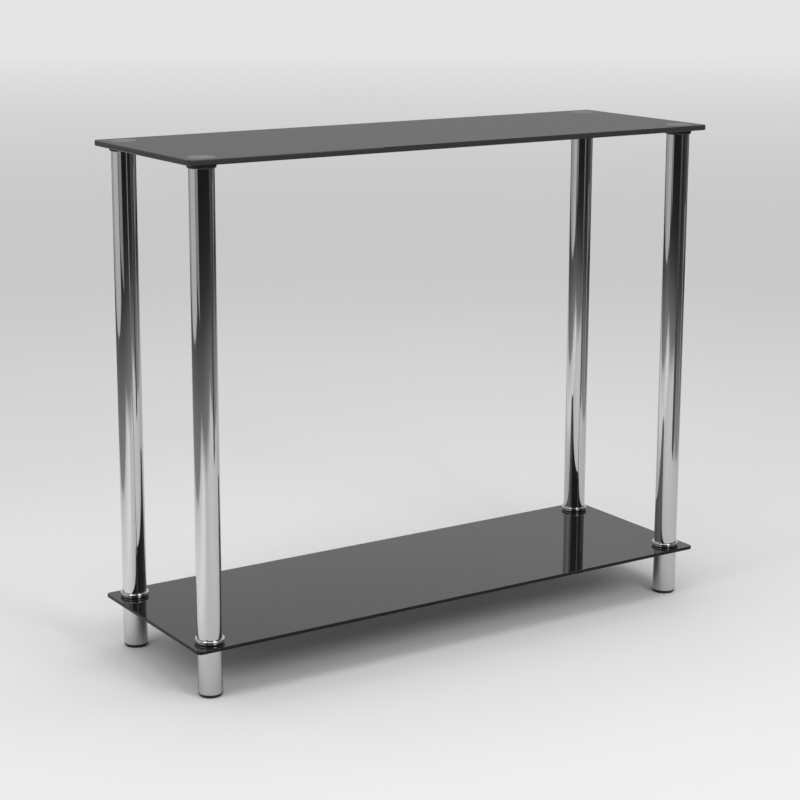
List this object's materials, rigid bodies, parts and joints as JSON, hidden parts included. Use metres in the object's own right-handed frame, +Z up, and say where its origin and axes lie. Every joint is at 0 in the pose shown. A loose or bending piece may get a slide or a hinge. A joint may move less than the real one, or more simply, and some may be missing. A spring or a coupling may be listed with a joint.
{
  "type": "console table",
  "caption": "Narrow console table with a black glass top, a lower black glass shelf and chromed tube legs with black caps and foot glides.",
  "frame": {"origin": "on the floor, under the middle of the table", "axes": "+X along the length, +Y across the depth from the front long edge to the back one, +Z up"},
  "size_m": [0.9, 0.3, 0.76],
  "materials": {
    "black_glass": "black tempered glass, polished",
    "chromed_tube": "bright chrome plate on steel tube",
    "chromed_collar": "bright chrome plate",
    "black_plastic": "moulded black plastic, satin",
    "zinc_steel": "zinc plated steel",
    "white_nylon": "natural nylon",
    "soft_gasket": "soft black gasket sheet"
  },
  "bodies": {
    "root": {"top_glass": "black_glass", "shelf_glass": "black_glass", "upper_leg_front_left": "chromed_tube", "lower_leg_front_left": "chromed_tube", "collar_front_left": "chromed_collar", "top_cap_front_left": "black_plastic", "foot_glide_front_left": "black_plastic", "top_disc_front_left": "zinc_steel", "joint_stud_front_left": "zinc_steel", "upper_leg_top_plug_front_left": "zinc_steel", "upper_leg_bottom_plug_front_left": "zinc_steel", "lower_leg_plug_front_left": "zinc_steel", "shelf_sleeve_front_left": "white_nylon", "upper_gasket_front_left": "soft_gasket", "lower_gasket_front_left": "soft_gasket", "upper_leg_front_right": "chromed_tube", "lower_leg_front_right": "chromed_tube", "collar_front_right": "chromed_collar", "top_cap_front_right": "black_plastic", "foot_glide_front_right": "black_plastic", "top_disc_front_right": "zinc_steel", "joint_stud_front_right": "zinc_steel", "upper_leg_top_plug_front_right": "zinc_steel", "upper_leg_bottom_plug_front_right": "zinc_steel", "lower_leg_plug_front_right": "zinc_steel", "shelf_sleeve_front_right": "white_nylon", "upper_gasket_front_right": "soft_gasket", "lower_gasket_front_right": "soft_gasket", "upper_leg_back_left": "chromed_tube", "lower_leg_back_left": "chromed_tube", "collar_back_left": "chromed_collar", "top_cap_back_left": "black_plastic", "foot_glide_back_left": "black_plastic", "top_disc_back_left": "zinc_steel", "joint_stud_back_left": "zinc_steel", "upper_leg_top_plug_back_left": "zinc_steel", "upper_leg_bottom_plug_back_left": "zinc_steel", "lower_leg_plug_back_left": "zinc_steel", "shelf_sleeve_back_left": "white_nylon", "upper_gasket_back_left": "soft_gasket", "lower_gasket_back_left": "soft_gasket", "upper_leg_back_right": "chromed_tube", "lower_leg_back_right": "chromed_tube", "collar_back_right": "chromed_collar", "top_cap_back_right": "black_plastic", "foot_glide_back_right": "black_plastic", "top_disc_back_right": "zinc_steel", "joint_stud_back_right": "zinc_steel", "upper_leg_top_plug_back_right": "zinc_steel", "upper_leg_bottom_plug_back_right": "zinc_steel", "lower_leg_plug_back_right": "zinc_steel", "shelf_sleeve_back_right": "white_nylon", "upper_gasket_back_right": "soft_gasket", "lower_gasket_back_right": "soft_gasket"}
  },
  "joints": []
}
